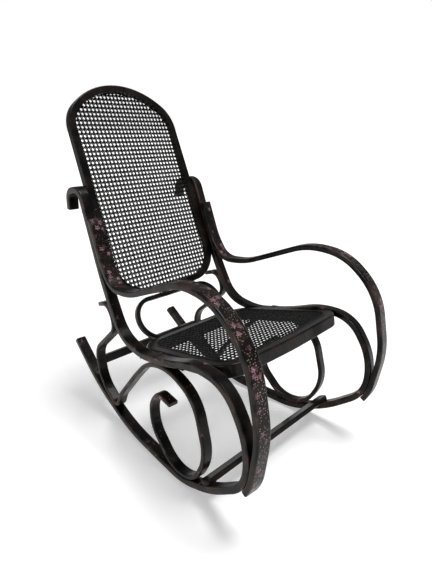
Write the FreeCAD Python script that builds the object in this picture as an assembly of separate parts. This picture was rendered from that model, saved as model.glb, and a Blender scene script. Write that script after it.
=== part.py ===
"""Bentwood rocking chair with a caned seat and back.

The chair is drawn with its seat level and rolled back onto its runners by REST_LEAN at the end.
Frame: +Z up, -Y front, +X the sitter's left. The origin is on the floor under the middle of the chair.
Every flat outline is drawn in a local XY plane. On a side of the chair local x runs back, local y runs up
and local z runs inwards across the strip.
"""
import FreeCAD, Part
import math
import os
from FreeCAD import Vector, Rotation, Placement

# Driving dimensions, in millimetres and degrees
RAIL_WIDTH = 30.0
RAIL_THICK = 18.0
ARM_WIDTH = 32.0
ARM_THICK = 16.0
SCROLL_WIDTH = 28.0
SCROLL_THICK = 12.0
STRIP_EASE = 2.5
SIDE_SPREAD = 236.0
SPLAY = 5.6
REST_LEAN = -15.0
SCARF_TOP = 60.0
SCARF_FOOT = -70.0

# Bent strips: corner points of the centre line (back, up) with the bend radius at each corner
RAIL_ROUTE = [(367, 727, 0), (354, 776, 28), (286, 774, 34), (247, 520, 1000), (205, 378, 105),
              (112, 340, 180), (0, 338, 700), (-110, 352, 220), (-205, 325, 100), (-248, 215, 175),
              (-225, 105, 106), (-95, 46, 330), (20, 30, 200), (125, 61, 900), (250, 100, 430),
              (399, 204, 490), (499, 331, 0)]
HOOK_BEND = 2
FRONT_BEND = 10
ARM_ROUTE = [(205, 507, 66), (120, 495, 240), (0, 516, 1200), (-100, 534, 200), (-205, 503, 160),
             (-285, 400, 200), (-284, 232, 260)]
ARM_TOP = 690.0
ARM_LEAVES = 562.0
ARM_JOINS = 200.0
ARM_ENDS = 225.0
SCROLL_ROUTE = [(294, 461, 0), (253, 465, 29), (233, 432, 58), (236, 392, 35), (305, 355, 900),
                (370, 320, 62), (376, 222, 95), (306, 151, 22), (270, 198, 60), (166, 275, 900),
                (90, 325, 140), (0, 325, 140), (-87, 268, 98), (-95, 125, 115), (-30, 45, 80),
                (58, 53, 86), (118, 148, 82), (106, 216, 66), (64, 248, 24), (16, 229, 0)]

# Caned back: its cane lies in a plane leaned back, measured from a point on its middle line
BACK_POINT = (300.0, 750.0)
BACK_LEAN = 11.0
BACK_FOOT = -307.0
BACK_FOOT_CORNER = -286.0
BACK_FOOT_ROUND = 100.0
BACK_FOOT_BOW = 378.0
BACK_SHOULDER = 233.0
BACK_SHOULDER_ROUND = 95.0
BACK_PEAK = 387.0
BACK_CROWN = 236.0
BACK_BAND = 20.0
BACK_AHEAD = 17.0
BACK_BEHIND = 5.0
BACK_SINK = 3.0

# Caned seat
SEAT_TOP = 350.0
SEAT_THICK = 32.0
SEAT_BAND = 34.0
SEAT_FRONT = -186.0
SEAT_BOW = 10.0
SEAT_BOW_ROUND = 900.0
SEAT_REAR = 172.0
SEAT_FRONT_CORNER = 62.0
SEAT_REAR_CORNER = 80.0

# Cane, its spline and the frame edges
CANE_THICK = 2.0
CANE_PITCH = 38.1
CANE_BAR = 12.0
CANE_RIM = 8.0
SPLINE_WIDTH = 5.0
SPLINE_DEPTH = 4.0
SPLINE_PROUD = 0.6
REBATE = 6.0
FRAME_ROUND = 4.0

# Oval hoop behind the seat, from the seat's rear edge up to the foot of the back
HOOP_LENGTH = 326.0
HOOP_FOOT = (178.0, 336.0)
HOOP_HEAD = (235.0, 452.5)
HOOP_THICK = 12.0
HOOP_DEPTH = 16.0

# Cross bars
REAR_BAR = (375.0, 280.0)
REAR_BAR_HEIGHT = 24.0
REAR_BAR_THICK = 18.0
FRONT_BAR = -85.0
FRONT_BAR_WIDTH = 30.0
FRONT_BAR_THICK = 14.0
FRONT_BAR_CLEAR = 1.0

# Screws and clearances
SHANK = 4.0
HEAD = 8.0
HEAD_DEPTH = 3.0
HEAD_SINK = 0.3
HOLE_GAP = 0.2
FIT_GAP = 0.3
ARM_SCREWS_AT = (662.0, 600.0)
ARM_FOOT_SCREWS_AT = (205.0, 219.0)
SEAT_SCREWS_AT = [(-140.0, 344.0), (-4.0, 336.0), (110.0, 337.0)]
SCARF_SCREWS_AT = (-30.0, 20.0)
BACK_SCREWS_AT = [(255.0, 560.0), (281.0, 715.0)]
HOOP_SCREWS_AT = 60.0

SIDE_TURN = Rotation(Vector(1, 1, 1), 120)
SIDE_PLACE = Placement(Vector(-SIDE_SPREAD, 0, 0), Rotation(Vector(0, 0, 1), -SPLAY) * SIDE_TURN)
BACK_PLACE = Placement(Vector(0, BACK_POINT[0], BACK_POINT[1]), Rotation(Vector(1, 0, 0), 90 - BACK_LEAN))


def flat(a, b):
    return Vector(a, b, 0)


def polar(centre, radius, degrees):
    turn = math.radians(degrees)
    return centre + flat(radius * math.cos(turn), radius * math.sin(turn))


def bend(before, corner, after):
    """The two tangent points, the middle and the centre of the round at a corner of a route."""
    apex = flat(corner[0], corner[1])
    to_start = (flat(before[0], before[1]) - apex).normalize()
    to_end = (flat(after[0], after[1]) - apex).normalize()
    half = to_start.getAngle(to_end) / 2
    inward = (to_start + to_end).normalize()
    reach = corner[2] / math.tan(half)
    centre = apex + inward * (corner[2] / math.sin(half))
    return apex + to_start * reach, centre - inward * corner[2], apex + to_end * reach, centre


def path(route, closed=False):
    """Straight runs and round bends along a route."""
    count = len(route)
    edges = []
    first = last = None if closed else flat(route[0][0], route[0][1])
    inner = range(count) if closed else range(1, count - 1)
    for i in inner:
        start, middle, end, _ = bend(route[i - 1], route[i], route[(i + 1) % count])
        if last and last.distanceToPoint(start) > 0.01:
            edges.append(Part.LineSegment(last, start).toShape())
        edges.append(Part.Arc(start, middle, end).toShape())
        first = first or start
        last = end
    finish = first if closed else flat(route[-1][0], route[-1][1])
    if last.distanceToPoint(finish) > 0.01:
        edges.append(Part.LineSegment(last, finish).toShape())
    return Part.Wire(edges)


def inset(route, distance):
    """A closed route, drawn anticlockwise, moved inwards with its bends kept concentric."""
    moved = []
    count = len(route)
    for i in range(count):
        here = flat(route[i][0], route[i][1])
        into = (here - flat(route[i - 1][0], route[i - 1][1])).normalize()
        out = (flat(route[(i + 1) % count][0], route[(i + 1) % count][1]) - here).normalize()
        left_in = flat(-into.y, into.x)
        left_out = flat(-out.y, out.x)
        here = here + (left_in + left_out) * (distance / (1 + left_in.dot(left_out)))
        moved.append((here.x, here.y, route[i][2] - distance))
    return moved


def slab(route, low, high):
    """A closed route filled and given thickness between two heights."""
    face = Part.Face(path(route, closed=True))
    face.translate(Vector(0, 0, low))
    return face.extrude(Vector(0, 0, high - low))


def strip(route, thick, width):
    """A bent strip with eased edges, centred across on its route."""
    spine = path(route)
    start = spine.Edges[0]
    along = start.tangentAt(start.FirstParameter)
    side = along.cross(Vector(0, 0, 1))
    a = thick / 2
    b = width / 2
    corners = [(a, b - STRIP_EASE), (a - STRIP_EASE, b), (STRIP_EASE - a, b), (-a, b - STRIP_EASE),
               (-a, STRIP_EASE - b), (STRIP_EASE - a, -b), (a - STRIP_EASE, -b), (a, STRIP_EASE - b)]
    origin = flat(route[0][0], route[0][1])
    points = [origin + side * p + Vector(0, 0, q) for p, q in corners + corners[:1]]
    return spine.makePipeShell([Part.makePolygon(points)], True, False)


def on_route(route, value, axis=0):
    """The centre point and direction of a route where one coordinate first takes a value."""
    wire = path(route)
    for edge in wire.Edges:
        low = edge.valueAt(edge.FirstParameter)[axis] - value
        high = edge.valueAt(edge.LastParameter)[axis] - value
        if low * high > 0:
            continue
        near = edge.FirstParameter
        far = edge.LastParameter
        for _ in range(40):
            middle = (near + far) / 2
            if (edge.valueAt(middle)[axis] - value) * low > 0:
                near = middle
            else:
                far = middle
        return edge.valueAt(near), edge.tangentAt(near)


def mirrored(shape):
    return shape.mirror(Vector(0, 0, 0), Vector(1, 0, 0))


def placed(shape, placement):
    moved = shape.copy()
    moved.Placement = placement.multiply(moved.Placement)
    return moved


def screw(point, direction, length, gap=0.0):
    """A countersunk screw driven in at a point, or the hole it sits in when a gap is given."""
    head = HEAD / 2 + gap
    shank = SHANK / 2 + gap
    mouth = -10 * gap
    profile = [Vector(head, 0, 0), Vector(shank, 0, HEAD_DEPTH), Vector(shank, 0, length + gap),
               Vector(0, 0, length + gap), Vector(0, 0, mouth)]
    if gap:
        profile.append(Vector(head, 0, mouth))
    body = Part.Face(Part.makePolygon(profile + profile[:1])).revolve(Vector(), Vector(0, 0, 1), 360)
    sunk = point + direction * HEAD_SINK
    return placed(body, Placement(sunk, Rotation(Vector(0, 0, 1), direction)))


def drive(screws, bodies, names):
    """Cut the holes of a list of screws, each a point, direction and length, and return the screws."""
    for name in names:
        for item in screws:
            bodies[name] = bodies[name].cut(screw(*item, gap=HOLE_GAP))
    return [screw(*item) for item in screws]


def rail_region():
    """Everything on the back rail's side of the scarf, which slants through the seat part of the rail."""
    top, _ = on_route(RAIL_ROUTE[4:], SCARF_TOP)
    foot, _ = on_route(RAIL_ROUTE[4:], SCARF_FOOT)
    above = top.y + RAIL_THICK / 2 + 0.5
    below = foot.y - RAIL_THICK / 2 - 0.5
    outline = [(SCARF_FOOT, below), (SCARF_TOP, above), (SCARF_TOP, 900), (420, 900), (420, 500), (300, 300),
               (200, below - 40), (SCARF_FOOT, below - 40)]
    points = [Vector(a, b, -RAIL_WIDTH) for a, b in outline + outline[:1]]
    return Part.Face(Part.makePolygon(points)).extrude(Vector(0, 0, 2 * RAIL_WIDTH))


def front_bend_centre():
    return bend(*RAIL_ROUTE[FRONT_BEND - 1:FRONT_BEND + 2])[3]


def arm_route():
    """The arm lies on the upright, leaves it forwards and comes to rest round the rail's front bend."""
    apart = (RAIL_THICK + ARM_THICK) / 2 + FIT_GAP
    start = []
    for height in (ARM_TOP, ARM_LEAVES):
        point, along = on_route(RAIL_ROUTE[HOOK_BEND:], height, axis=1)
        front = flat(along.y, -along.x)
        point = point + front * apart
        start.append((point.x, point.y, 260 if height == ARM_LEAVES else 0))
    centre = front_bend_centre()
    radius = RAIL_ROUTE[FRONT_BEND][2] + apart
    half = (ARM_ENDS - ARM_JOINS) / 2
    corner = polar(centre, radius / math.cos(math.radians(half)), ARM_JOINS + half)
    end = polar(centre, radius, ARM_ENDS)
    return start + ARM_ROUTE + [(corner.x, corner.y, radius), (end.x, end.y, 0)]


def arm_screws():
    """Screws into the arm from behind the upright and from inside the front bend."""
    found = []
    for height in ARM_SCREWS_AT:
        point, along = on_route(RAIL_ROUTE[HOOK_BEND:], height, axis=1)
        front = flat(along.y, -along.x)
        found.append((point - front * (RAIL_THICK / 2), front, RAIL_THICK + ARM_THICK * 0.6))
    for angle in ARM_FOOT_SCREWS_AT:
        outward = polar(Vector(), 1, angle)
        start = front_bend_centre() + outward * (RAIL_ROUTE[FRONT_BEND][2] - RAIL_THICK / 2)
        found.append((start, outward, RAIL_THICK + ARM_THICK * 0.6))
    return found


def scroll_screws():
    """Screws through the scroll into the rail at each of its four seats."""
    half = SCROLL_THICK / 2
    length = SCROLL_THICK + RAIL_THICK * 0.5
    behind, _ = on_route(SCROLL_ROUTE, 433, axis=1)
    runner, slope = on_route(RAIL_ROUTE[12:], 327)
    down = flat(slope.y, -slope.x)
    crest, _ = on_route(SCROLL_ROUTE[9:], 41)
    foot, _ = on_route(SCROLL_ROUTE[13:], 5)
    seat = runner - down * (RAIL_THICK / 2 + SCROLL_THICK - 1)
    return [(behind + flat(half, 0), flat(-1, 0), length), (seat, down, length),
            (crest - flat(0, half), flat(0, 1), length), (foot + flat(0, half), flat(0, -1), length)]


def scarf_screws():
    found = []
    for back in SCARF_SCREWS_AT:
        point, _ = on_route(RAIL_ROUTE[4:], back)
        found.append((point - flat(0, RAIL_THICK / 2), flat(0, 1), RAIL_THICK * 0.8))
    return found


def side_screws(points, width, length):
    """Screws driven inwards from the outer side of a strip."""
    return [(Vector(a, b, -width / 2), Vector(0, 0, 1), length) for a, b in points]


def chair_side():
    """The bent strips and screws of one side, in the side's own plane."""
    rail = strip(RAIL_ROUTE, RAIL_THICK, RAIL_WIDTH)
    region = rail_region()
    bodies = {"back_rail": rail.common(region), "runner": rail.cut(region)}
    bodies["arm"] = strip(arm_route(), ARM_THICK, ARM_WIDTH)
    clearance = strip(RAIL_ROUTE, RAIL_THICK + 2 * FIT_GAP, RAIL_WIDTH + 4 * STRIP_EASE)
    bodies["scroll"] = strip(SCROLL_ROUTE, SCROLL_THICK, SCROLL_WIDTH).cut(clearance)
    screws = {"arm_screws": drive(arm_screws(), bodies, ("back_rail", "runner", "arm")),
              "scroll_screws": drive(scroll_screws(), bodies, ("back_rail", "runner", "scroll")),
              "scarf_screws": drive(scarf_screws(), bodies, ("back_rail", "runner")),
              "seat_screws": drive(seat_screws(), bodies, ("back_rail", "runner")),
              "back_screws": drive(back_screws(), bodies, ("back_rail",)),
              "stretcher_screws": drive(rear_bar_screws() + front_bar_screws(), bodies, ("scroll", "runner"))}
    return bodies, screws


def seat_screws():
    return side_screws(SEAT_SCREWS_AT, RAIL_WIDTH, RAIL_WIDTH + SEAT_BAND * 0.6)


def back_screws():
    return side_screws(BACK_SCREWS_AT, RAIL_WIDTH, RAIL_WIDTH + BACK_BAND * 0.6)


def rear_bar_screws():
    return side_screws([REAR_BAR], SCROLL_WIDTH, SCROLL_WIDTH + 24)


def front_bar_screws():
    point, up = front_bar_seat()
    return [(point + up * (FRONT_BAR_CLEAR + FRONT_BAR_THICK), -up, FRONT_BAR_THICK + RAIL_THICK * 0.6)]


def inner_half(back):
    """Half the clear width between the rails' inner faces at a distance back."""
    turn = math.radians(SPLAY)
    return SIDE_SPREAD - math.tan(turn) * back - RAIL_WIDTH / 2 / math.cos(turn) - FIT_GAP


def seat_route():
    front = inner_half(SEAT_FRONT)
    rear = inner_half(SEAT_REAR)
    return [(-front, SEAT_FRONT, SEAT_FRONT_CORNER), (0, SEAT_FRONT - SEAT_BOW, SEAT_BOW_ROUND),
            (front, SEAT_FRONT, SEAT_FRONT_CORNER), (rear, SEAT_REAR, SEAT_REAR_CORNER),
            (-rear, SEAT_REAR, SEAT_REAR_CORNER)]


def back_half(along):
    """Half the width of the back at a height along its own plane, following the splayed uprights."""
    return inner_half(BACK_POINT[0] + along * math.sin(math.radians(BACK_LEAN)))


def back_route():
    foot = back_half(BACK_FOOT_CORNER)
    shoulder = back_half(BACK_SHOULDER)
    return [(0, BACK_FOOT, BACK_FOOT_BOW), (foot, BACK_FOOT_CORNER, BACK_FOOT_ROUND),
            (shoulder, BACK_SHOULDER, BACK_SHOULDER_ROUND), (0, BACK_PEAK, BACK_CROWN),
            (-shoulder, BACK_SHOULDER, BACK_SHOULDER_ROUND), (-foot, BACK_FOOT_CORNER, BACK_FOOT_ROUND)]


def caned_frame(route, band, low, high, sink):
    """A frame with its cane net let in from above and the spline that holds it."""
    body = slab(route, low, high)
    rims = [e for e in body.Edges if e.BoundBox.ZLength < 0.01]
    body = body.makeFillet(FRAME_ROUND, rims)
    body = body.cut(slab(inset(route, band), low - 1, high + 1))
    rebate = inset(route, band - REBATE)
    groove = inset(route, band - REBATE - SPLINE_WIDTH)
    face = high - sink
    body = body.cut(slab(rebate, face - CANE_THICK, high + 1))
    trench = slab(groove, face - SPLINE_DEPTH, high + 1)
    body = body.cut(trench.cut(slab(rebate, face - SPLINE_DEPTH, face - CANE_THICK)))
    net = cane_net(inset(rebate, FIT_GAP), inset(route, band + CANE_RIM), face - CANE_THICK, face)
    spline = slab(inset(groove, FIT_GAP), face - SPLINE_DEPTH, face + SPLINE_PROUD)
    spline = spline.cut(slab(rebate, face - SPLINE_DEPTH - 1, face + SPLINE_PROUD + 1))
    return body, net, spline


def cane_net(outline, field, low, high):
    """The cane as one holed face given thickness, its gaps on a square grid inside the field."""
    inside = Part.Face(path(field, closed=True))
    half = (CANE_PITCH - CANE_BAR) / 2
    box = inside.BoundBox
    middle = (box.YMin + box.YMax) / 2
    wires = [path(outline, closed=True)]
    columns = int(box.XLength / 2 / CANE_PITCH) + 1
    rows = int(box.YLength / 2 / CANE_PITCH) + 1
    for i in range(-columns, columns + 1):
        for j in range(-rows, rows + 1):
            x = i * CANE_PITCH
            y = middle + j * CANE_PITCH
            corners = [Vector(x - half, y - half, 0), Vector(x + half, y - half, 0),
                       Vector(x + half, y + half, 0), Vector(x - half, y + half, 0)]
            if all(inside.isInside(corner, 0.01, True) for corner in corners):
                wires.append(Part.makePolygon(corners + corners[:1]))
    face = Part.makeFace(Part.makeCompound(wires), "Part::FaceMakerBullseye")
    face.translate(Vector(0, 0, low))
    return face.extrude(Vector(0, 0, high - low)).Solids[0]


def hoop_place():
    """The hoop's plane: its middle, leaned from the seat's rear edge to the foot of the back."""
    lean = math.degrees(math.atan2(HOOP_HEAD[0] - HOOP_FOOT[0], HOOP_HEAD[1] - HOOP_FOOT[1]))
    centre = Vector(0, (HOOP_FOOT[0] + HOOP_HEAD[0]) / 2, (HOOP_FOOT[1] + HOOP_HEAD[1]) / 2)
    return Placement(centre, Rotation(Vector(1, 0, 0), 90 - lean))


def oval_hoop(seat_blank, back_blank):
    tall = math.hypot(HOOP_HEAD[0] - HOOP_FOOT[0], HOOP_HEAD[1] - HOOP_FOOT[1])
    a = HOOP_LENGTH / 2
    b = tall / 2
    route = [(-a, -b, b - 0.01), (a, -b, b - 0.01), (a, b, b - 0.01), (-a, b, b - 0.01)]
    body = slab(route, -HOOP_DEPTH / 2, HOOP_DEPTH / 2)
    body = body.cut(slab(inset(route, HOOP_THICK), -HOOP_DEPTH, HOOP_DEPTH))
    rims = [e for e in body.Edges if e.BoundBox.ZLength < 0.01]
    body = body.makeChamfer(STRIP_EASE, rims)
    return placed(body, hoop_place()).cut(seat_blank).cut(back_blank)


def hoop_screws():
    """Two screws forwards into the seat and two upwards into the foot of the back."""
    place = hoop_place()
    up = place.Rotation.multVec(Vector(0, 1, 0))
    low = Vector(0, *HOOP_FOOT) + up * (HOOP_THICK / 2) + Vector(0, HOOP_DEPTH / 2 / up.z, 0)
    high = Vector(0, *HOOP_HEAD) - up * HOOP_THICK
    found = []
    for across in (-HOOP_SCREWS_AT, HOOP_SCREWS_AT):
        found.append((low + Vector(across, 0, 0), Vector(0, -1, 0), 30))
        found.append((high + Vector(across * 0.8, 0, 0), up, 26))
    return found


def rear_stretcher():
    turn = math.radians(SPLAY)
    half = SIDE_SPREAD - math.tan(turn) * REAR_BAR[0] - SCROLL_WIDTH / 2 / math.cos(turn) - FIT_GAP
    slope = math.tan(turn) * REAR_BAR_THICK / 2
    points = [Vector(-half - slope, -REAR_BAR_THICK / 2, 0), Vector(half + slope, -REAR_BAR_THICK / 2, 0),
              Vector(half - slope, REAR_BAR_THICK / 2, 0), Vector(-half + slope, REAR_BAR_THICK / 2, 0)]
    body = Part.Face(Part.makePolygon(points + points[:1])).extrude(Vector(0, 0, REAR_BAR_HEIGHT))
    rims = [e for e in body.Edges if e.BoundBox.XLength > half]
    body = body.makeChamfer(STRIP_EASE, rims)
    body.translate(Vector(0, REAR_BAR[0] * math.cos(turn), REAR_BAR[1] - REAR_BAR_HEIGHT / 2))
    return body


def front_bar_seat():
    """The point on top of the runner under the front bar, in the side's plane, and its upward normal."""
    point, along = on_route(RAIL_ROUTE[FRONT_BEND:], FRONT_BAR)
    up = flat(-along.y, along.x)
    return point + up * (RAIL_THICK / 2), up


def front_stretcher():
    """A flat bar with rounded ends across the tops of both runners."""
    point, up = front_bar_seat()
    turn = math.radians(SPLAY)
    back = point.x * math.cos(turn)
    half = SIDE_SPREAD - math.sin(turn) * point.x + RAIL_WIDTH / 2
    w = FRONT_BAR_WIDTH / 2
    route = [(-half, -w, w * 0.7), (half, -w, w * 0.7), (half, w, w * 0.7), (-half, w, w * 0.7)]
    body = slab(route, FRONT_BAR_CLEAR, FRONT_BAR_CLEAR + FRONT_BAR_THICK)
    body = body.makeChamfer(STRIP_EASE, [e for e in body.Edges if e.BoundBox.ZLength < 0.01])
    tilt = math.degrees(math.atan2(-up.x, up.y))
    return placed(body, Placement(Vector(0, back, point.y), Rotation(Vector(1, 0, 0), tilt)))


def both_sides(shape):
    right = placed(shape, SIDE_PLACE)
    return right, mirrored(right)


def build_chair():
    """Every named piece with the seat level."""
    side, side_found = chair_side()
    seat_blank = slab(inset(seat_route(), -FIT_GAP), SEAT_TOP - SEAT_THICK, SEAT_TOP)
    back_blank = placed(slab(inset(back_route(), -FIT_GAP), -BACK_BEHIND, BACK_AHEAD), BACK_PLACE)
    parts = {}
    seat = caned_frame(seat_route(), SEAT_BAND, SEAT_TOP - SEAT_THICK, SEAT_TOP, 0)
    back = caned_frame(back_route(), BACK_BAND, -BACK_AHEAD, BACK_BEHIND, BACK_SINK)
    turned = Placement(Vector(), Rotation(Vector(0, 1, 0), 180))
    for name, shape in zip(("seat_frame", "seat_cane", "seat_spline"), seat):
        parts[name] = shape
    for name, shape in zip(("back_frame", "back_cane", "back_spline"), back):
        parts[name] = placed(placed(shape, turned), BACK_PLACE)
    parts["oval_hoop"] = oval_hoop(seat_blank, back_blank)
    parts["rear_stretcher"] = rear_stretcher()
    parts["front_stretcher"] = front_stretcher()
    screws = {name: [one for item in items for one in both_sides(item)] for name, items in side_found.items()}
    screws["hoop_screws"] = drive(hoop_screws(), parts, ("oval_hoop", "seat_frame", "back_frame"))
    cut_for(parts, "seat_frame", seat_screws())
    cut_for(parts, "back_frame", back_screws())
    cut_for(parts, "rear_stretcher", rear_bar_screws())
    cut_for(parts, "front_stretcher", front_bar_screws())
    for name, shape in side.items():
        parts[name + "_right"], parts[name + "_left"] = both_sides(shape)
    return parts, screws


def cut_for(parts, name, screws):
    """Cut the holes of both sides' screws in a middle piece."""
    for item in screws:
        for hole in both_sides(screw(*item, gap=HOLE_GAP)):
            parts[name] = parts[name].cut(hole)


def main():
    parts, screws = build_chair()
    roll = Placement(Vector(), Rotation(Vector(1, 0, 0), REST_LEAN))
    for name, group in screws.items():
        parts[name] = Part.makeCompound(group)
    rolled = {name: placed(shape, roll) for name, shape in parts.items()}
    box = Part.makeCompound(list(rolled.values())).BoundBox
    shift = Placement(Vector(0, -(box.YMin + box.YMax) / 2, -box.ZMin), Rotation())
    os.makedirs("parts", exist_ok=True)
    for name, shape in rolled.items():
        placed(shape, shift).exportStep(os.path.join("parts", name + ".step"))


main()
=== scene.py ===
import math
import bpy
from mathutils import Matrix, Vector


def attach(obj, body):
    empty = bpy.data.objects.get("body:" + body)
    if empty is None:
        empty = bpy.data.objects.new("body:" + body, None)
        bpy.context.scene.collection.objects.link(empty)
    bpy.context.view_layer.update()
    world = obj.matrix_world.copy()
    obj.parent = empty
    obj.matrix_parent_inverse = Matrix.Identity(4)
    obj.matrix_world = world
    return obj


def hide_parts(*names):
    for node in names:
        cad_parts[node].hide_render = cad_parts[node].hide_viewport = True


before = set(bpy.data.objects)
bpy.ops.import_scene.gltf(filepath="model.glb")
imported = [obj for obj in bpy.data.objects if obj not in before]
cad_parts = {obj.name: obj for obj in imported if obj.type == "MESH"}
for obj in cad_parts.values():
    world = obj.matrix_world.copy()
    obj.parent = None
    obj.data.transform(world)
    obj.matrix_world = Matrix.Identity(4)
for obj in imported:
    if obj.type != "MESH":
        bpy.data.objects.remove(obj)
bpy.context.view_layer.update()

# The part's driving dimensions, in millimetres and degrees, with the seat level
RAIL_WIDTH = 30.0
RAIL_THICK = 18.0
ARM_WIDTH = 32.0
SCROLL_WIDTH = 28.0
SCROLL_THICK = 12.0
SIDE_SPREAD = 236.0
SPLAY = 5.6
REST_LEAN = -15.0
REST_SHIFT = (0.0, -207.44, -15.59)
SCARF_LINE = ((60.0, 349.6), (-70.0, 335.2))
FIT_GAP = 0.3

# The side's strips, each a list of corners: (back, up, radius of the bend). The hook bend ends the upright's
# hook, and the front bend is the one that the arm's foot lies on.
RAIL_ROUTE = [(367, 727, 0), (354, 776, 28), (286, 774, 34), (247, 520, 1000), (205, 378, 105),
              (112, 340, 180), (0, 338, 700), (-110, 352, 220), (-205, 325, 100), (-248, 215, 175),
              (-225, 105, 106), (-95, 46, 330), (20, 30, 200), (125, 61, 900), (250, 100, 430),
              (399, 204, 490), (499, 331, 0)]
HOOK_BEND = 2
FRONT_BEND = 10
ARM_ROUTE = [(205, 507, 66), (120, 495, 240), (0, 516, 1200), (-100, 534, 200), (-205, 503, 160),
             (-285, 400, 200), (-284, 232, 260)]
ARM_TOP = 690.0
ARM_LEAVES = 562.0
ARM_LEAVES_ROUND = 260.0
ARM_JOINS = 200.0
ARM_ENDS = 225.0
SCROLL_ROUTE = [(294, 461, 0), (253, 465, 29), (233, 432, 58), (236, 392, 35), (305, 355, 900),
                (370, 320, 62), (376, 222, 95), (306, 151, 22), (270, 198, 60), (166, 275, 900),
                (90, 325, 140), (0, 325, 140), (-87, 268, 98), (-95, 125, 115), (-30, 45, 80),
                (58, 53, 86), (118, 148, 82), (106, 216, 66), (64, 248, 24), (16, 229, 0)]

# The caned back, in a plane through a point (back, up) and leaned back, and the caned seat
BACK_POINT = (300.0, 750.0)
BACK_LEAN = 11.0
BACK_FOOT = -307.0
BACK_FOOT_CORNER = -286.0
BACK_FOOT_ROUND = 100.0
BACK_FOOT_BOW = 378.0
BACK_SHOULDER = 233.0
BACK_SHOULDER_ROUND = 95.0
BACK_PEAK = 387.0
BACK_CROWN = 236.0
BACK_BAND = 20.0
BACK_CANE_FACE = 2.0
SEAT_TOP = 350.0
SEAT_BAND = 34.0
SEAT_FRONT = -186.0
SEAT_BOW = 10.0
SEAT_BOW_ROUND = 900.0
SEAT_REAR = 172.0
SEAT_FRONT_CORNER = 62.0
SEAT_REAR_CORNER = 80.0
REBATE = 6.0
SPLINE_WIDTH = 5.0

# The photograph shows broader arms than the solids have. All that they gain is on the inner side, and they
# are 1 mm thinner than the solids, which keeps them inside the solids' box.
ARM_GAIN = 7.0
ARM_THICK = 15.0

# How finely a line of points follows its route: the longest step in a bend, its widest turn in degrees, and
# the longest step on a straight run. Points that are closer than the least gap count as one.
BEND_STEP = 8.0
BEND_TURN = 7.0
STRAIGHT_STEP = 24.0
LEAST_GAP = 0.05

# A bent strip's rounded edges and eased ends. Points a little way in from an edge keep the flat sides flat.
EDGE_ROUND = 4.0
EDGE_HOLD = 1.2
ROUND_STEPS = 4
END_EASE = 1.5
# The scarf's line bounds a strip only above this height, because the runner passes under it lower down
SCARF_FROM = 290.0

# Six-way cane: the spacing of its holes, the size of one strand and the gap between the two of a pair
WEAVE_PITCH = 12.7
STRAND_WIDTH = 2.5
STRAND_GAP = 0.5
STRAND_THICK = 1.0
# A strand's section, aside and up, in shares of its width and thickness: flat below, crowned above
STRAND_SECTION = ((-0.5, -0.5), (-0.44, 0.15), (0.0, 0.5), (0.44, 0.15), (0.5, -0.5))
# How far a strand bends up or down where it crosses another, in thicknesses, and how many times as far a
# slanted one does
WEAVE_LIFT = 0.55
SLANT_LIFT = 1.9
# How deep the middle of the weave lies below the cane's face, and the shortest strand that is made
CANE_SINK = 1.0
SHORTEST_STRAND = 2.0
# The finish is moved by this much from one strand to the next, in metres, so that no two look the same
STRAND_SHIFT = 0.37

# The reed that holds the cane: its section, in from the groove's outer edge and up, and how deep it is set
REED_SECTION = ((0.0, -0.5), (0.3, 0.9), (1.2, 1.4), (2.5, 1.6), (3.8, 1.4), (4.7, 0.9),
                (SPLINE_WIDTH, -0.5))
REED_SINK = 0.5

# What the finishes show, in millimetres
GRAIN_LENGTH = 80.0
GRAIN_WIDTH = 3.0
WEAR_PATCH = 45.0
WEAR_FLECK = 2.4
BLOSSOM_SPACING = 17.0
SPECK_SPACING = 5.0
CANE_LENGTH = 33.0
CANE_FIBRE = 0.8
CANE_FIBRE_LENGTH = 50.0 / 3
STEEL_SPOT = 1.1
# How far a strip's narrow sides are worn, where its edges are fully worn at 1
SIDE_WEAR = 0.25

# Where an arm is painted, in metres. Across it, the paint fades between these distances from the middle of
# its outer face.
FACE_PAINT = (0.013, 0.0165)
# Along it, the middle of the level part where hands rest, and the distances from there between which the
# paint comes back
HAND_REST = 0.37
REST_BARE = (0.11, 0.17)
# Along any strip, the places between which the dusting of specks grows dense
DUST_GROWS = (0.50, 0.80)

# The floor's half width in metres, and its own glow to the eye, which lifts its lit part to plain white
FLOOR_HALF = 12.0
FLOOR_LIFT = 0.34

# The photograph's camera: its place in metres and its turns in degrees, with the seat level, and its lens in
# pixels of the image's height. The sensor's height is in millimetres, and the lens goes with it.
VIEW_FROM = (-0.900, -0.863, 0.696)
VIEW_TURN = -44.573
VIEW_UP = 10.177
VIEW_ROLL = -8.327
VIEW_LENS = 479.3
IMAGE_HEIGHT = 573
SENSOR_HEIGHT = 36.0

# A distance that no strip reaches, and a speed too small to count
FAR_AWAY = 1e9
NEARLY_NONE = 1e-9

# ROW takes millimetres with the seat level to the frame that the chair stands in, and LEAN is its turn. SIDE
# takes the right side's plane, with its points as (back, up, across), to its place in the chair, and MIRROR
# takes the right to the left.
METRES = Matrix.Scale(0.001, 4)
LEAN = Matrix.Rotation(math.radians(REST_LEAN), 4, "X")
ROW = METRES @ Matrix.Translation(REST_SHIFT) @ LEAN
LOCAL_AXES = Matrix(((0, 0, 1, 0), (1, 0, 0, 0), (0, 1, 0, 0), (0, 0, 0, 1)))
SIDE_TURN = Matrix.Rotation(math.radians(-SPLAY), 4, "Z")
SIDE = Matrix.Translation((-SIDE_SPREAD, 0, 0)) @ SIDE_TURN @ LOCAL_AXES
MIRROR = Matrix.Scale(-1, 4, (1, 0, 0))
BACK_PLANE = Matrix.Translation((0, *BACK_POINT)) @ Matrix.Rotation(math.radians(90 - BACK_LEAN), 4, "X")
SEAT_PLANE = Matrix.Translation((0, 0, SEAT_TOP))


def polar(centre, radius, degrees):
    """The point at a distance and a direction from a centre."""
    turn = math.radians(degrees)
    return centre + Vector((math.cos(turn), math.sin(turn))) * radius


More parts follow.
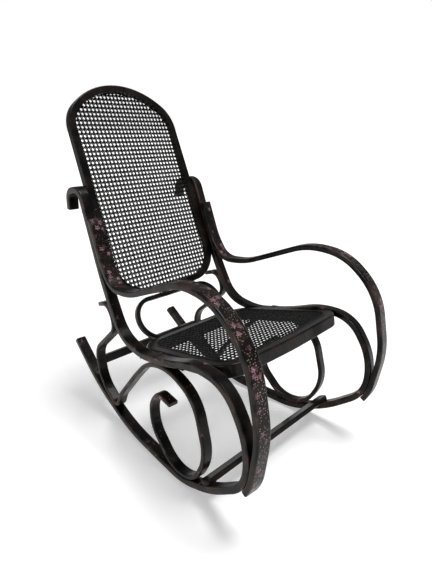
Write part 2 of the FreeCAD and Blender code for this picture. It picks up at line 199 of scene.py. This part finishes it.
def bend(before, corner, after):
    """The tangent points and the centre of the round at a corner of a route."""
    apex = Vector(corner[:2])
    to_start = (Vector(before[:2]) - apex).normalized()
    to_end = (Vector(after[:2]) - apex).normalized()
    half = to_start.angle(to_end) / 2
    reach = corner[2] / math.tan(half)
    centre = apex + (to_start + to_end).normalized() * (corner[2] / math.sin(half))
    return apex + to_start * reach, apex + to_end * reach, centre


def trace(route, closed=False):
    """Points along a route: its straight runs, and its bends divided finely enough to look round."""
    count = len(route)
    points = [] if closed else [Vector(route[0][:2])]
    for i in range(count) if closed else range(1, count - 1):
        start, end, centre = bend(route[i - 1], route[i], route[(i + 1) % count])
        from_turn = math.atan2(start.y - centre.y, start.x - centre.x)
        to_turn = math.atan2(end.y - centre.y, end.x - centre.x)
        swing = (to_turn - from_turn + math.pi) % (2 * math.pi) - math.pi
        steps = max(abs(swing) * route[i][2] / BEND_STEP, abs(swing) / math.radians(BEND_TURN))
        parts = max(2, math.ceil(steps))
        for k in range(parts + 1):
            points.append(polar(centre, route[i][2], math.degrees(from_turn + swing * k / parts)))
    if not closed:
        points.append(Vector(route[-1][:2]))
    kept = [points[0]]
    for point in points[1:]:
        gap = (point - kept[-1]).length
        if gap > LEAST_GAP:
            pieces = max(1, round(gap / STRAIGHT_STEP))
            start = kept[-1]
            kept += [start.lerp(point, (k + 1) / pieces) for k in range(pieces)]
    return kept


def inset(route, distance):
    """A closed route, drawn anticlockwise, moved inwards with its bends kept concentric."""
    moved = []
    count = len(route)
    for i in range(count):
        here = Vector(route[i][:2])
        into = (here - Vector(route[i - 1][:2])).normalized()
        out = (Vector(route[(i + 1) % count][:2]) - here).normalized()
        left_in = Vector((-into.y, into.x))
        left_out = Vector((-out.y, out.x))
        here = here + (left_in + left_out) * (distance / (1 + left_in.dot(left_out)))
        moved.append((here.x, here.y, route[i][2] - distance))
    return moved


def at_height(points, height):
    """Where a line of points first passes a height, and its direction there."""
    for a, b in zip(points, points[1:]):
        if (a.y - height) * (b.y - height) <= 0 and a.y != b.y:
            return a.lerp(b, (height - a.y) / (b.y - a.y)), (b - a).normalized()


def part_at(points, back):
    """A line of points in two, parted where it first passes a distance back."""
    for i, (a, b) in enumerate(zip(points, points[1:])):
        if (a.x - back) * (b.x - back) <= 0 and a.x != b.x:
            at = a.lerp(b, (back - a.x) / (b.x - a.x))
            return points[:i + 1] + [at], [at] + points[i + 1:]


def arm_route():
    """The arm lies on the upright, leaves it forwards and comes to rest round the rail's front bend."""
    apart = (RAIL_THICK + ARM_THICK) / 2 + FIT_GAP
    upright = trace(RAIL_ROUTE[HOOK_BEND:])
    start = []
    for height, rounding in ((ARM_TOP, 0), (ARM_LEAVES, ARM_LEAVES_ROUND)):
        point, along = at_height(upright, height)
        point = point + Vector((along.y, -along.x)) * apart
        start.append((point.x, point.y, rounding))
    centre = bend(*RAIL_ROUTE[FRONT_BEND - 1:FRONT_BEND + 2])[2]
    radius = RAIL_ROUTE[FRONT_BEND][2] + apart
    half = (ARM_ENDS - ARM_JOINS) / 2
    corner = polar(centre, radius / math.cos(math.radians(half)), ARM_JOINS + half)
    end = polar(centre, radius, ARM_ENDS)
    return start + ARM_ROUTE + [(corner.x, corner.y, radius), (end.x, end.y, 0)]


def inner_half(back):
    """Half the clear width between the rails' inner faces at a distance back."""
    turn = math.radians(SPLAY)
    return SIDE_SPREAD - math.tan(turn) * back - RAIL_WIDTH / 2 / math.cos(turn) - FIT_GAP


def seat_route():
    """The outside of the seat's frame, seen from above."""
    front = inner_half(SEAT_FRONT)
    rear = inner_half(SEAT_REAR)
    return [(-front, SEAT_FRONT, SEAT_FRONT_CORNER), (0, SEAT_FRONT - SEAT_BOW, SEAT_BOW_ROUND),
            (front, SEAT_FRONT, SEAT_FRONT_CORNER), (rear, SEAT_REAR, SEAT_REAR_CORNER),
            (-rear, SEAT_REAR, SEAT_REAR_CORNER)]


def back_half(along):
    """Half the clear width at a distance up the back's plane."""
    return inner_half(BACK_POINT[0] + along * math.sin(math.radians(BACK_LEAN)))


def back_route():
    """The outside of the back's frame, in its own plane."""
    foot = back_half(BACK_FOOT_CORNER)
    shoulder = back_half(BACK_SHOULDER)
    return [(0, BACK_FOOT, BACK_FOOT_BOW), (foot, BACK_FOOT_CORNER, BACK_FOOT_ROUND),
            (shoulder, BACK_SHOULDER, BACK_SHOULDER_ROUND), (0, BACK_PEAK, BACK_CROWN),
            (-shoulder, BACK_SHOULDER, BACK_SHOULDER_ROUND), (-foot, BACK_FOOT_CORNER, BACK_FOOT_ROUND)]


def make_piece(name, points, faces, uvs=None, edges=None):
    """A mesh object on the chair's one body. uvs holds one pair per point, in metres, edges one number."""
    mesh = bpy.data.meshes.new(name)
    mesh.from_pydata([tuple(p) for p in points], [], faces)
    if uvs:
        layer = mesh.uv_layers.new(name="strip")
        for loop in mesh.loops:
            layer.data[loop.index].uv = uvs[loop.vertex_index]
    if edges:
        values = mesh.attributes.new("edge", "FLOAT", "POINT")
        values.data.foreach_set("value", edges)
    # Only a strip's flat ends have more than four corners.
    for polygon in mesh.polygons:
        polygon.use_smooth = len(polygon.vertices) <= 4
    mesh.validate()
    piece = bpy.data.objects.new(name, mesh)
    bpy.context.scene.collection.objects.link(piece)
    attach(piece, "root")
    return piece


def rounded_profile(thick, width, rounding):
    """Corner points of a strip's section, counted from the middle of its outer face, with how far round the
    edge each one is: (out, across, distance round, edge)."""
    profile = []
    flats = ((1, 0), (0, 1), (-1, 0), (0, -1))
    halves = (thick / 2, width / 2)
    for i, (out, across) in enumerate(flats):
        into = halves[1] if out else halves[0]
        ahead = Vector((-across, out))
        face = Vector((out * halves[0], across * halves[1]))
        for along in (-into + rounding + EDGE_HOLD, 0, into - rounding - EDGE_HOLD):
            spot = face + ahead * along
            profile.append((spot.x, spot.y, SIDE_WEAR if across else 0.0))
        corner = face + ahead * (into - rounding) - Vector((out, across)) * rounding
        for k in range(ROUND_STEPS + 1):
            turn = math.atan2(across, out) + math.pi / 2 / ROUND_STEPS * k
            edge = max(SIDE_WEAR, math.sin(math.pi * k / ROUND_STEPS))
            profile.append((corner.x + rounding * math.cos(turn), corner.y + rounding * math.sin(turn),
                            edge))
    # The distance round is counted from the middle of the outer face, which is the second point.
    profile = profile[1:] + profile[:1]
    run = 0.0
    marked = []
    for i, (out, across, edge) in enumerate(profile):
        if i:
            run += math.hypot(out - profile[i - 1][0], across - profile[i - 1][1])
        marked.append((out, across, run, edge))
    around = run + math.hypot(profile[0][0] - profile[-1][0], profile[0][1] - profile[-1][1])
    return [(out, across, run if run < around / 2 else run - around, edge)
            for out, across, run, edge in marked]


def shrunk(profile, amount, thick, width):
    """A section's points drawn in evenly, for an eased end."""
    return [(out * (1 - 2 * amount / thick), across * (1 - 2 * amount / width), run, 1.0)
            for out, across, run, _ in profile]


def scarf_limit(centre, side, above):
    """How far out a strip may reach at a centre so that it stays on its side of the slanted scarf."""
    foot, top = Vector(SCARF_LINE[1]), Vector(SCARF_LINE[0])
    if not foot.x < centre.x < top.x:
        return -FAR_AWAY if above else FAR_AWAY
    normal = Vector((foot.y - top.y, top.x - foot.x))
    return normal.dot(foot - centre) / normal.dot(side)


def bent_strip(name, centres, thick, width, to_row, scarf=None, gain=0.0):
    """A bent strip with rounded edges and eased ends along a line of points, placed by a matrix. scarf is
    "above" or "below" for a strip that lies on that side of the scarf, and gain is width added inwards."""
    width += gain
    profile = rounded_profile(thick, width, EDGE_ROUND)
    small = shrunk(profile, END_EASE, thick, width)
    first = (centres[1] - centres[0]).normalized()
    last = (centres[-1] - centres[-2]).normalized()
    rings = [(centres[0], first, small), (centres[0] + first * END_EASE, first, profile)]
    for i in range(1, len(centres) - 1):
        along = (centres[i] - centres[i - 1]).normalized() + (centres[i + 1] - centres[i]).normalized()
        rings.append((centres[i], along.normalized(), profile))
    rings += [(centres[-1] - last * END_EASE, last, profile), (centres[-1], last, small)]
    points, uvs, edges, faces = [], [], [], []
    run = 0.0
    for i, (centre, along, section) in enumerate(rings):
        if i:
            run += (centre - rings[i - 1][0]).length
        side = Vector((along.y, -along.x))
        near_scarf = scarf and centre.y > SCARF_FROM
        limit = scarf_limit(centre, side, scarf == "above") if near_scarf else 0.0
        for out, across, round_by, edge in section:
            if limit and scarf == "above":
                out = max(out, limit)
            elif limit:
                out = min(out, limit)
            spot = centre + side * out
            points.append(Vector((spot.x, spot.y, across + gain / 2)))
            uvs.append((run / 1000, round_by / 1000))
            edges.append(edge)
    size = len(profile)
    for i in range(len(rings) - 1):
        for j in range(size):
            k = (j + 1) % size
            faces.append((i * size + j, i * size + k, (i + 1) * size + k, (i + 1) * size + j))
    faces.append(tuple(reversed(range(size))))
    faces.append(tuple(range((len(rings) - 1) * size, len(rings) * size)))
    matrix = ROW @ to_row
    if matrix.determinant() > 0:
        faces = [tuple(reversed(face)) for face in faces]
    return make_piece(name, [matrix @ p for p in points], faces, uvs, edges)


def clip(line_point, line_way, outline):
    """The first and last place, in steps of line_way, where a line is inside a convex outline, or None where
    it has too little length there."""
    low, high = -FAR_AWAY, FAR_AWAY
    for a, b in zip(outline, outline[1:] + outline[:1]):
        inward = Vector((a.y - b.y, b.x - a.x))
        speed = inward.dot(line_way)
        room = inward.dot(line_point - a)
        if abs(speed) < NEARLY_NONE:
            if room < 0:
                return None
        elif speed > 0:
            low = max(low, -room / speed)
        else:
            high = min(high, -room / speed)
    return (low, high) if high - low > SHORTEST_STRAND else None


def strand(points, faces, uvs, centres, across, number):
    """Add one strand of split cane through a list of centres."""
    base = len(points)
    size = len(STRAND_SECTION)
    run = 0.0
    for i, centre in enumerate(centres):
        if i:
            run += (centre - centres[i - 1]).length
        for aside, up in STRAND_SECTION:
            points.append(centre + across * aside * STRAND_WIDTH + Vector((0, 0, up * STRAND_THICK)))
            uvs.append((run / 1000 + number * STRAND_SHIFT, number + aside * STRAND_WIDTH / 1000))
        if i:
            for j in range(size):
                k = (j + 1) % size
                a = base + (i - 1) * size
                faces.append((a + j, a + size + j, a + size + k, a + k))


def lifted(spot, height):
    """A flat point at a height."""
    return spot.to_3d() + Vector((0, 0, height))


def woven_cane(name, node, outline_route, plane, face):
    """Six-way woven cane: upright and cross strands in pairs, and single strands both ways slantwise. It
    stands for a node of the solids."""
    outline = trace(outline_route, closed=True)
    middle = (min(p.y for p in outline) + max(p.y for p in outline)) / 2
    reach = int(max(abs(p.x) + abs(p.y - middle) for p in outline) / WEAVE_PITCH) + 2
    pair = (STRAND_WIDTH + STRAND_GAP) / 2
    bob = STRAND_THICK * WEAVE_LIFT
    bed = face - CANE_SINK
    points, faces, uvs = [], [], []
    count = 0
    for way, across, lift in ((Vector((1, 0)), Vector((0, 1)), 1), (Vector((0, 1)), Vector((1, 0)), -1)):
        for i in range(-reach, reach + 1):
            for side in (-1, 1):
                start = Vector((0, middle)) + across * ((i + 0.5) * WEAVE_PITCH + side * pair)
                span = clip(start, way, outline)
                if not span:
                    continue
                stops = []
                for k in range(-reach, reach + 1):
                    for other in (-1, 1):
                        at = (k + 0.5) * WEAVE_PITCH + other * pair
                        if span[0] < at < span[1]:
                            stops.append((at, bob * lift * side * other))
                stops = [(span[0], 0.0)] + stops + [(span[1], 0.0)]
                centres = [lifted(start + way * at, bed + height) for at, height in stops]
                strand(points, faces, uvs, centres, across.to_3d(), count)
                count += 1
    for lift, way in ((1, Vector((1, 1))), (-1, Vector((1, -1)))):
        across = Vector((-way.y, way.x)).normalized()
        for i in range(-reach, reach + 1):
            start = Vector(((i + 0.5) * WEAVE_PITCH, middle))
            span = clip(start, way, outline)
            if not span:
                continue
            stops = [(k * WEAVE_PITCH / 2, k) for k in range(-2 * reach, 2 * reach + 1)
                     if span[0] < k * WEAVE_PITCH / 2 < span[1]]
            centres = [lifted(start + way * span[0], bed)]
            for at, k in stops:
                over = lift * bob * SLANT_LIFT * (-1 if k % 2 else 1)
                centres.append(lifted(start + way * at, bed + over))
            centres.append(lifted(start + way * span[1], bed))
            strand(points, faces, uvs, centres, across.to_3d(), count)
            count += 1
    matrix = ROW @ plane
    piece = make_piece(name, [matrix @ p for p in points], faces, uvs)
    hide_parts(node)
    return piece


def reed_spline(name, node, route, plane, face):
    """The half-round reed pressed into the groove over the cane's edge. It stands for a node of the
    solids."""
    outer = trace(route, closed=True)
    points, faces, uvs = [], [], []
    run = 0.0
    count = len(outer)
    for i, here in enumerate(outer):
        along = (outer[(i + 1) % count] - outer[i - 1]).normalized()
        inward = Vector((-along.y, along.x))
        run += (here - outer[i - 1]).length if i else 0.0
        for j, (into, up) in enumerate(REED_SECTION):
            points.append(lifted(here + inward * into, face + up - REED_SINK))
            uvs.append((run / 1000, j / 1000))
    size = len(REED_SECTION)
    for i in range(count):
        for j in range(size - 1):
            a = i * size + j
            b = (i + 1) % count * size + j
            faces.append((a, b, b + 1, a + 1))
    matrix = ROW @ plane
    piece = make_piece(name, [matrix @ p for p in points], faces, uvs)
    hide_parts(node)
    return piece


def srgb(code):
    """A hex colour as the linear values that a shader takes."""
    channels = [int(code[i:i + 2], 16) / 255 for i in (1, 3, 5)]
    return tuple(c / 12.92 if c <= 0.04045 else ((c + 0.055) / 1.055) ** 2.4 for c in channels) + (1.0,)


def add(owner, kind, settings=None, links=None):
    """Add a node to a material or a world, with its settings and the sockets linked to its inputs. A setting
    is a property of the node or the value of an input, by the input's name or number. In a mix of colours
    input 0 is the share of the second one, inputs 6 and 7 are the two colours, and output 2 is the mix."""
    tree = owner.node_tree
    node = tree.nodes.new(kind)
    for key, value in (settings or {}).items():
        if isinstance(key, str) and hasattr(node, key):
            setattr(node, key, value)
        else:
            node.inputs[key].default_value = value
    for key, socket in (links or {}).items():
        tree.links.new(socket, node.inputs[key])
    return node


def new_material(name):
    """A material with no nodes in it yet."""
    material = bpy.data.materials.new(name)
    material.use_nodes = True
    material.node_tree.nodes.clear()
    return material


def surface(material, shader, colour, roughness, height, depth):
    """Give a material its surface: the shader's own settings, the sockets that vary over it, and the depth
    of its relief in metres."""
    bump = add(material, "ShaderNodeBump", {"Strength": 0.6, "Distance": depth}, {"Height": height})
    glossy = add(material, "ShaderNodeBsdfPrincipled", shader,
                 {"Base Color": colour, "Roughness": roughness, "Normal": bump.outputs[0]})
    add(material, "ShaderNodeOutputMaterial", None, {"Surface": glossy.outputs[0]})
    return material


def lacquered_beech(name, on_strip, painted=None):
    """Beech bent with steam and brushed with black lacquer. The eye gets a satin near-black with the long
    grain faint in it, brown where hands have rubbed it thin, in patches and along the edges. painted holds
    the settings of the blossoms, for the strips that have some."""
    material = new_material(name)
    body = add(material, "ShaderNodeTexCoord").outputs["Object"]
    place = add(material, "ShaderNodeUVMap", {"uv_map": "strip"}).outputs[0] if on_strip else body
    # Beech rays are under 1 mm wide. They are drawn wider, so that they show.
    across = 1000 / GRAIN_WIDTH
    streaks = add(material, "ShaderNodeMapping", {"Scale": (1000 / GRAIN_LENGTH, across, across)},
                  {"Vector": place})
    grain = add(material, "ShaderNodeTexNoise", {"Scale": 1.0, "Detail": 4.0},
                {"Vector": streaks.outputs[0]})
    patch = add(material, "ShaderNodeTexNoise", {"Scale": 1000 / WEAR_PATCH, "Detail": 5.0},
                {"Vector": body})
    fleck = add(material, "ShaderNodeTexNoise", {"Scale": 1000 / WEAR_FLECK, "Detail": 2.0},
                {"Vector": body})
    thin = add(material, "ShaderNodeMapRange", {"From Min": 0.42, "From Max": 0.68},
               {"Value": patch.outputs[0]})
    lacquer = add(material, "ShaderNodeMix", {"data_type": "RGBA", 6: srgb("#090808"), 7: srgb("#1e1714")},
                  {0: thin.outputs[0]})
    scuffed = add(material, "ShaderNodeMapRange", {"From Min": 0.52, "From Max": 0.66, "To Max": 0.5},
                  {"Value": fleck.outputs[0]})
    scuffs = add(material, "ShaderNodeMath", {"operation": "MULTIPLY"},
                 {0: thin.outputs[0], 1: scuffed.outputs[0]})
    colour = add(material, "ShaderNodeMix", {"data_type": "RGBA", 7: srgb("#4a3a31")},
                 {0: scuffs.outputs[0], 6: lacquer.outputs[2]})
    if on_strip:
        edge = add(material, "ShaderNodeAttribute", {"attribute_name": "edge"})
        broken = add(material, "ShaderNodeMapRange", {"From Min": 0.42, "From Max": 0.64, "To Max": 0.75},
                     {"Value": patch.outputs[0]})
        rubbed = add(material, "ShaderNodeMath", {"operation": "MULTIPLY"},
                     {0: edge.outputs["Fac"], 1: broken.outputs[0]})
        colour = add(material, "ShaderNodeMix", {"data_type": "RGBA", 7: srgb("#514339")},
                     {0: rubbed.outputs[0], 6: colour.outputs[2]})
    if painted:
        colour = painted_blossoms(material, place, colour, patch, fleck, **painted)
    dull = add(material, "ShaderNodeMapRange",
               {"From Min": 0.3, "From Max": 0.7, "To Min": 0.26, "To Max": 0.42},
               {"Value": patch.outputs[0]})
    relief = add(material, "ShaderNodeMath", {"operation": "MULTIPLY_ADD", 1: 0.5},
                 {0: fleck.outputs[0], 2: grain.outputs[0]})
    shader = {"IOR": 1.5, "Specular IOR Level": 0.10, "Coat Weight": 0.12, "Coat Roughness": 0.12}
    return surface(material, shader, colour.outputs[2], dull.outputs[0], relief.outputs[0], depth=0.0004)


def painted_blossoms(material, place, ground, patch, fleck, blossoms_gone, specks_gone, on_arm):
    """Small five-petalled blossoms and a dusting of specks, painted by hand and mostly rubbed away. On an
    arm they run along the outer face, and its level top, where hands rest, has none left. Elsewhere a few
    are scattered where the lacquer is thin. blossoms_gone and specks_gone are the shares that are gone."""
    parts = add(material, "ShaderNodeSeparateXYZ", None, {0: place})
    kept = add(material, "ShaderNodeMapRange", {"From Min": 0.42, "From Max": 0.56},
               {"Value": patch.outputs[0]})
    zone = kept
    if on_arm:
        aside = add(material, "ShaderNodeMath", {"operation": "ABSOLUTE"}, {0: parts.outputs[1]})
        face = add(material, "ShaderNodeMapRange",
                   {"From Min": FACE_PAINT[0], "From Max": FACE_PAINT[1], "To Min": 1.0, "To Max": 0.0},
                   {"Value": aside.outputs[0]})
        from_rest = add(material, "ShaderNodeMath", {"operation": "SUBTRACT", 1: HAND_REST},
                        {0: parts.outputs[0]})
        away = add(material, "ShaderNodeMath", {"operation": "ABSOLUTE"}, {0: from_rest.outputs[0]})
        ends = add(material, "ShaderNodeMapRange", {"From Min": REST_BARE[0], "From Max": REST_BARE[1]},
                   {"Value": away.outputs[0]})
        zone = add(material, "ShaderNodeMath", {"operation": "MULTIPLY"},
                   {0: face.outputs[0], 1: ends.outputs[0]})
    chipped = add(material, "ShaderNodeMapRange", {"From Min": 0.40, "From Max": 0.56, "To Min": 0.15},
                  {"Value": fleck.outputs[0]})
    petals = add(material, "ShaderNodeMath", {"operation": "MULTIPLY"},
                 {0: kept.outputs[0], 1: chipped.outputs[0]})
    dusted = add(material, "ShaderNodeMapRange",
                 {"From Min": DUST_GROWS[0], "From Max": DUST_GROWS[1], "To Min": 0.25, "To Max": 1.0},
                 {"Value": parts.outputs[0]})
    dust = add(material, "ShaderNodeMath", {"operation": "MULTIPLY"},
               {0: dusted.outputs[0], 1: chipped.outputs[0]})
    # The radius and the depth of the petals are shares of the spacing.
    for spacing, radius, lobe, gone, strength, paint, hexes in (
            (BLOSSOM_SPACING, 0.34, 0.10, blossoms_gone, 0.70, petals, ("#5f3f4d", "#c092a1")),
            (SPECK_SPACING, 0.25, 0.04, specks_gone, 0.80, dust, ("#8f8a78", "#c4aaa6"))):
        cells = add(material, "ShaderNodeMapping", {"Scale": (1000 / spacing,) * 3}, {"Vector": place})
        nearest = add(material, "ShaderNodeTexVoronoi",
                      {"voronoi_dimensions": "2D", "Scale": 1.0, "Randomness": 0.9},
                      {"Vector": cells.outputs[0]})
        offset = add(material, "ShaderNodeVectorMath", {"operation": "SUBTRACT"},
                     {0: cells.outputs[0], 1: nearest.outputs["Position"]})
        spoke = add(material, "ShaderNodeSeparateXYZ", None, {0: offset.outputs[0]})
        turn = add(material, "ShaderNodeMath", {"operation": "ARCTAN2"},
                   {0: spoke.outputs[1], 1: spoke.outputs[0]})
        fivefold = add(material, "ShaderNodeMath", {"operation": "MULTIPLY", 1: 5.0}, {0: turn.outputs[0]})
        wave = add(material, "ShaderNodeMath", {"operation": "COSINE"}, {0: fivefold.outputs[0]})
        rim = add(material, "ShaderNodeMath", {"operation": "MULTIPLY_ADD", 1: lobe, 2: radius},
                  {0: wave.outputs[0]})
        inside = add(material, "ShaderNodeMath", {"operation": "LESS_THAN"},
                     {0: nearest.outputs["Distance"], 1: rim.outputs[0]})
        chance = add(material, "ShaderNodeSeparateColor", None, {0: nearest.outputs["Color"]})
        cover = add(material, "ShaderNodeMath", {"operation": "GREATER_THAN", 1: gone},
                    {0: chance.outputs[0]})
        for share in (inside, zone, paint):
            cover = add(material, "ShaderNodeMath", {"operation": "MULTIPLY"},
                        {0: cover.outputs[0], 1: share.outputs[0]})
        thinned = add(material, "ShaderNodeMath", {"operation": "MULTIPLY", 1: strength},
                      {0: cover.outputs[0]})
        tint = add(material, "ShaderNodeMix", {"data_type": "RGBA", 6: srgb(hexes[0]), 7: srgb(hexes[1])},
                   {0: chance.outputs[1]})
        ground = add(material, "ShaderNodeMix", {"data_type": "RGBA"},
                     {0: thinned.outputs[0], 6: ground.outputs[2], 7: tint.outputs[2]})
    return ground


def lacquered_cane(name):
    """Split cane, or the reed that holds it, lacquered black: each strand a little different in shade, with
    a fibrous gloss along its crown."""
    material = new_material(name)
    place = add(material, "ShaderNodeUVMap", {"uv_map": "strip"}).outputs[0]
    lengths = add(material, "ShaderNodeMapping", {"Scale": (1000 / CANE_LENGTH, 1.0, 1.0)},
                  {"Vector": place})
    tone = add(material, "ShaderNodeTexNoise", {"Scale": 1.0, "Detail": 3.0}, {"Vector": lengths.outputs[0]})
    # Cane fibres are about 0.2 mm wide. They are drawn wider, so that they show.
    fibres = add(material, "ShaderNodeMapping",
                 {"Scale": (1000 / CANE_FIBRE_LENGTH, 1000 / CANE_FIBRE, 1.0)},
                 {"Vector": place})
    fibre = add(material, "ShaderNodeTexNoise", {"Scale": 1.0, "Detail": 3.0}, {"Vector": fibres.outputs[0]})
    shade = add(material, "ShaderNodeMapRange", {"From Min": 0.30, "From Max": 0.72},
                {"Value": tone.outputs[0]})
    colour = add(material, "ShaderNodeMix", {"data_type": "RGBA", 6: srgb("#070707"), 7: srgb("#151413")},
                 {0: shade.outputs[0]})
    dull = add(material, "ShaderNodeMapRange",
               {"From Min": 0.3, "From Max": 0.7, "To Min": 0.32, "To Max": 0.48},
               {"Value": tone.outputs[0]})
    return surface(material, {"IOR": 1.5, "Specular IOR Level": 0.15}, colour.outputs[2], dull.outputs[0],
                   fibre.outputs[0], depth=0.0002)


def black_steel(name):
    """Turned steel screws, blackened in oil: a dull blue-black with the bare grey metal in spots."""
    material = new_material(name)
    body = add(material, "ShaderNodeTexCoord").outputs["Object"]
    spots = add(material, "ShaderNodeTexNoise", {"Scale": 1000 / STEEL_SPOT, "Detail": 3.0},
                {"Vector": body})
    bare = add(material, "ShaderNodeMapRange", {"From Min": 0.45, "From Max": 0.75},
               {"Value": spots.outputs[0]})
    colour = add(material, "ShaderNodeMix", {"data_type": "RGBA", 6: srgb("#1c1c1d"), 7: srgb("#6b6460")},
                 {0: bare.outputs[0]})
    dull = add(material, "ShaderNodeMapRange",
               {"From Min": 0.3, "From Max": 0.7, "To Min": 0.35, "To Max": 0.6},
               {"Value": spots.outputs[0]})
    return surface(material, {"Metallic": 0.8}, colour.outputs[2], dull.outputs[0], spots.outputs[0],
                   depth=0.0001)


def pale_floor():
    """Matt white studio paper. Away from the chair it looks plain white, and it keeps the chair's shadow."""
    material = new_material("white_studio_paper")
    path = add(material, "ShaderNodeLightPath").outputs
    reflected = add(material, "ShaderNodeMath", {"operation": "MAXIMUM"},
                    {0: path["Is Glossy Ray"], 1: path["Is Transmission Ray"]})
    seen = add(material, "ShaderNodeMath", {"operation": "MAXIMUM"},
               {0: path["Is Camera Ray"], 1: reflected.outputs[0]})
    lift = add(material, "ShaderNodeMath", {"operation": "MULTIPLY", 1: FLOOR_LIFT}, {0: seen.outputs[0]})
    matt = add(material, "ShaderNodeBsdfDiffuse", {"Color": srgb("#ececec")})
    glow = add(material, "ShaderNodeEmission", {"Color": srgb("#ffffff")}, {"Strength": lift.outputs[0]})
    both = add(material, "ShaderNodeAddShader", None, {0: matt.outputs[0], 1: glow.outputs[0]})
    add(material, "ShaderNodeOutputMaterial", None, {"Surface": both.outputs[0]})
    return material


strip_beech = lacquered_beech("lacquered_beech_strips", on_strip=True,
                              painted={"blossoms_gone": 0.93, "specks_gone": 0.97, "on_arm": False})
arm_beech = lacquered_beech("lacquered_beech_blossoms", on_strip=True,
                            painted={"blossoms_gone": 0.50, "specks_gone": 0.60, "on_arm": True})
solid_beech = lacquered_beech("lacquered_beech_frames", on_strip=False)
cane = lacquered_cane("lacquered_cane")
spline_reed = lacquered_cane("lacquered_reed")
steel = black_steel("black_steel")

rail_line = trace(RAIL_ROUTE)
back_rail_line = part_at(rail_line, SCARF_LINE[1][0])[0]
runner_line = part_at(rail_line, SCARF_LINE[0][0])[1]
for hand, placing in (("right", SIDE), ("left", MIRROR @ SIDE)):
    strips = (("arm_", trace(arm_route()), ARM_THICK, ARM_WIDTH, None, ARM_GAIN, arm_beech),
              ("back_rail_", back_rail_line, RAIL_THICK, RAIL_WIDTH, "below", 0.0, strip_beech),
              ("runner_", runner_line, RAIL_THICK, RAIL_WIDTH, "above", 0.0, strip_beech),
              ("scroll_", trace(SCROLL_ROUTE), SCROLL_THICK, SCROLL_WIDTH, None, 0.0, strip_beech))
    for stem, centres, thick, width, scarf, gain, finish in strips:
        piece = bent_strip("bent_" + stem + hand, centres, thick, width, placing, scarf, gain)
        piece.data.materials.append(finish)
        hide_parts(stem + hand)

back_turned = BACK_PLANE @ Matrix.Rotation(math.pi, 4, "Y")
for stem, route, band, plane, face in (("seat_", seat_route(), SEAT_BAND, SEAT_PLANE, 0.0),
                                       ("back_", back_route(), BACK_BAND, back_turned, BACK_CANE_FACE)):
    woven = woven_cane(stem + "woven_cane", stem + "cane", inset(route, band - REBATE + FIT_GAP),
                       plane, face)
    woven.data.materials.append(cane)
    reed = reed_spline(stem + "reed_spline", stem + "spline", inset(route, band - REBATE - SPLINE_WIDTH),
                       plane, face)
    reed.data.materials.append(spline_reed)

# These keep the shape of the solids.
finishes = {name: solid_beech
            for name in ("back_frame", "seat_frame", "oval_hoop", "rear_stretcher", "front_stretcher")}
finishes.update({name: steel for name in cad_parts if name.endswith("_screws")})
for name, finish in finishes.items():
    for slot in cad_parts[name].material_slots:
        slot.material = finish


def studio_floor():
    """A large flat floor under the chair."""
    corners = [(x * FLOOR_HALF, y * FLOOR_HALF, 0) for x, y in ((-1, -1), (1, -1), (1, 1), (-1, 1))]
    mesh = bpy.data.meshes.new("studio_floor")
    mesh.from_pydata(corners, [], [(0, 1, 2, 3)])
    floor = bpy.data.objects.new("studio_floor", mesh)
    bpy.context.scene.collection.objects.link(floor)
    mesh.materials.append(pale_floor())


def far_lamp(name, way, spread, strength):
    """A far lamp, as bright at every place. way is where its light goes, and the wider its spread, in
    degrees, the softer its shadows."""
    lamp = bpy.data.lights.new(name, "SUN")
    lamp.angle = math.radians(spread)
    lamp.energy = strength
    holder = bpy.data.objects.new(name, lamp)
    holder.rotation_euler = Vector(way).to_track_quat("-Z", "Y").to_euler()
    bpy.context.scene.collection.objects.link(holder)


def studio_world():
    """Even light all round. The eye sees plain white where no floor is."""
    world = bpy.data.worlds.new("studio")
    bpy.context.scene.world = world
    world.use_nodes = True
    world.node_tree.nodes.clear()
    path = add(world, "ShaderNodeLightPath").outputs
    plain = add(world, "ShaderNodeBackground", {"Color": srgb("#ffffff"), "Strength": 0.25})
    white = add(world, "ShaderNodeBackground", {"Color": srgb("#ffffff"), "Strength": 1.0})
    mixed = add(world, "ShaderNodeMixShader", None,
                {0: path["Is Camera Ray"], 1: plain.outputs[0], 2: white.outputs[0]})
    add(world, "ShaderNodeOutputWorld", None, {"Surface": mixed.outputs[0]})


def photo_camera():
    """The camera of the photograph, from its place and turns with the seat level."""
    turn, up, roll = (math.radians(v) for v in (VIEW_TURN, VIEW_UP, VIEW_ROLL))
    back = Vector((math.sin(turn) * math.cos(up), -math.cos(turn) * math.cos(up), math.sin(up)))
    right = (-back).cross(Vector((0, 0, 1))).normalized()
    upward = right.cross(-back)
    rolled = Matrix((right * math.cos(roll) + upward * math.sin(roll),
                     upward * math.cos(roll) - right * math.sin(roll), back)).transposed()
    camera = bpy.data.objects.new("photo_camera", bpy.data.cameras.new("photo_camera"))
    camera.data.sensor_fit = "VERTICAL"
    camera.data.sensor_height = SENSOR_HEIGHT
    camera.data.lens = VIEW_LENS * SENSOR_HEIGHT / IMAGE_HEIGHT
    spot = ROW @ (Vector(VIEW_FROM) * 1000)
    camera.matrix_world = Matrix.Translation(spot) @ (LEAN.to_3x3() @ rolled).to_4x4()
    bpy.context.scene.collection.objects.link(camera)
    bpy.context.scene.camera = camera


studio_floor()
studio_world()
far_lamp("overhead", (-0.16, 0.12, -1.0), 26, 2.5)
far_lamp("left_side", (1.0, 0.15, -0.25), 10, 0.9)
photo_camera()
bpy.context.scene.view_settings.view_transform = "Standard"
